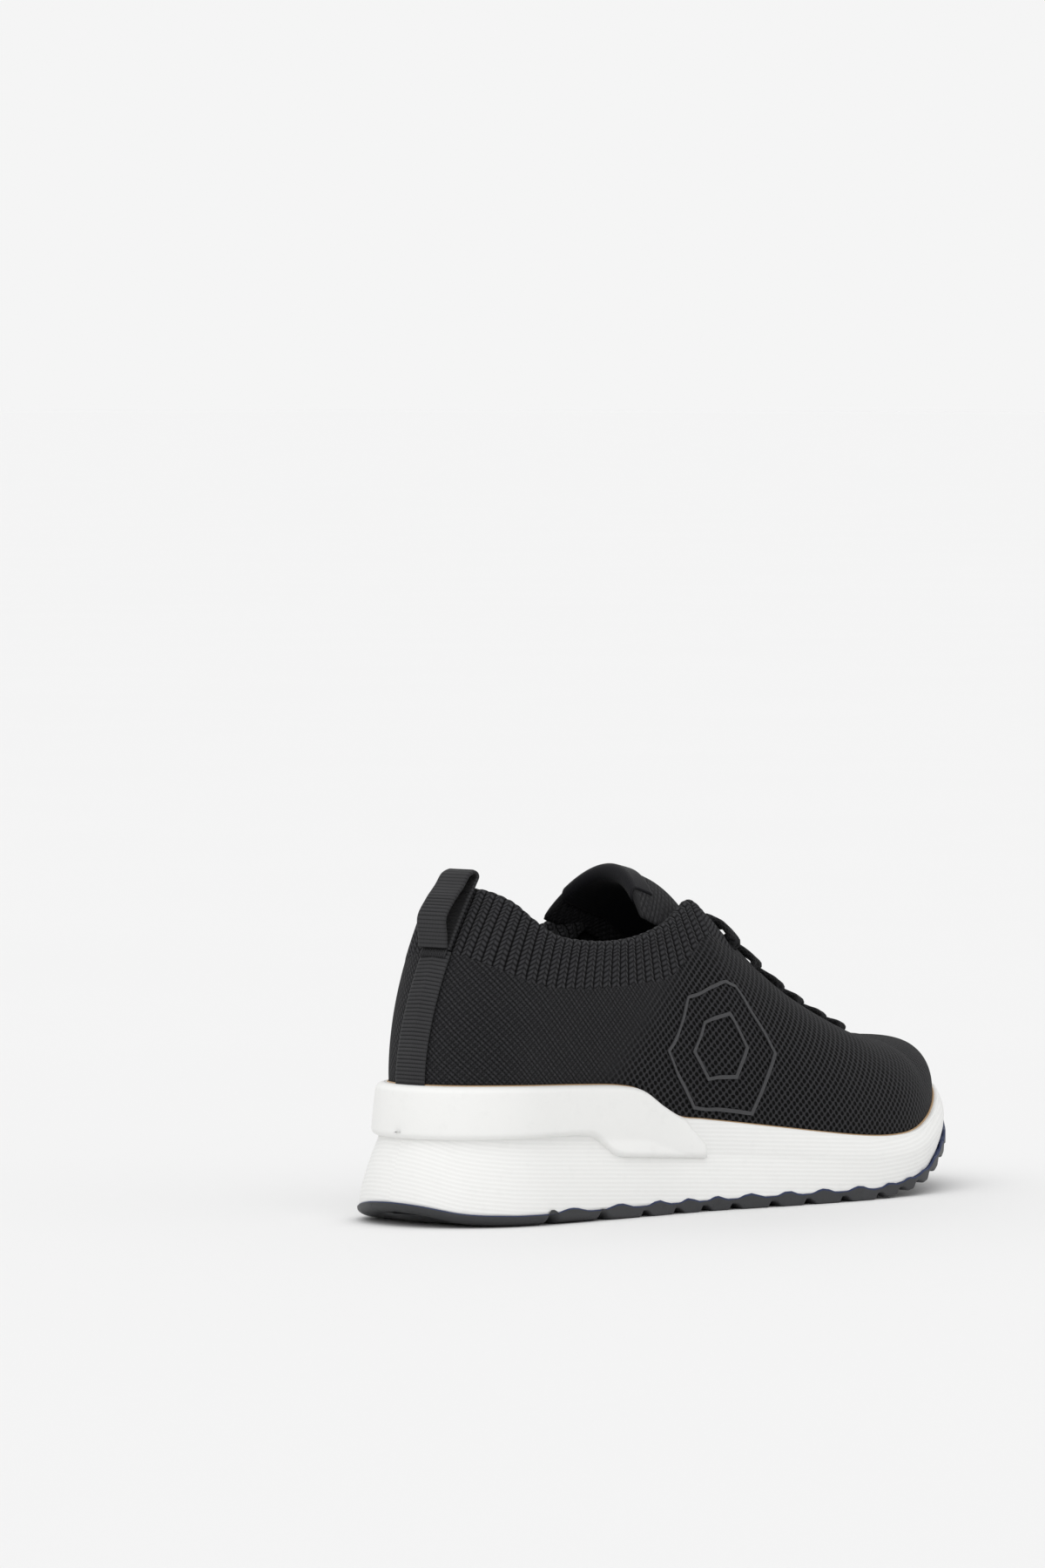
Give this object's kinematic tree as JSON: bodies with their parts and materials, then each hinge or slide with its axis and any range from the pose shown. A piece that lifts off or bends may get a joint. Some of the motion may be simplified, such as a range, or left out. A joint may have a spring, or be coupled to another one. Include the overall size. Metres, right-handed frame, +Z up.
{
  "type": "running shoe",
  "caption": "Right-foot knit running shoe with a sock-like rib collar, ladder lacing, a heel pull loop, a thick foam sole with a raised heel panel and a lugged rubber outsole.",
  "frame": {"origin": "middle of the outline on the ground plane under the shoe", "axes": "+X toward the toe, +Y toward the inner side of the foot, +Z up"},
  "size_m": [0.285, 0.1028, 0.1252],
  "materials": {
    "outsole_rubber": "satin",
    "midsole_foam": "matt",
    "panel_foam": "matt",
    "board": "matt",
    "sock_foam": "matt",
    "sock_cloth": "matt",
    "knit": "matt",
    "rib": "matt",
    "lining": "matt",
    "padding": "matt",
    "stiffener": "matt",
    "film": "satin",
    "tongue": "matt",
    "wrap": "smooth",
    "lace": "matt",
    "aglet": "clear",
    "webbing": "matt",
    "thread": "matt",
    "print": "satin"
  },
  "bodies": {
    "shoe": {"outsole": "outsole_rubber", "midsole": "midsole_foam", "heel_panel": "panel_foam", "strobel_board": "board", "sock_foam": "sock_foam", "sock_cover": "sock_cloth", "knit_upper": "knit", "rib_collar": "rib", "lining": "lining", "collar_padding": "padding", "heel_counter": "stiffener", "toe_puff": "stiffener", "lace_band_lateral": "film", "lace_band_medial": "film", "lace": "lace", "aglet_ankle": "aglet", "aglet_toe": "aglet", "heel_tape": "webbing", "loop_bartack": "thread", "side_motif": "print"},
    "tongue": {"tongue": "tongue", "tongue_wrap": "wrap"},
    "pull_loop": {"pull_loop": "webbing"}
  },
  "joints": [
    {"name": "tongue_hinge", "type": "hinge", "parent": "shoe", "child": "tongue", "pos_m": [0.0895, 0, 0.0507], "axis": [0, -1, 0], "range_deg": [0, 16]},
    {"name": "loop_hinge", "type": "hinge", "parent": "shoe", "child": "pull_loop", "pos_m": [-0.1196, 0, 0.0968], "axis": [0, -1, 0], "range_deg": [0, 60]}
  ]
}
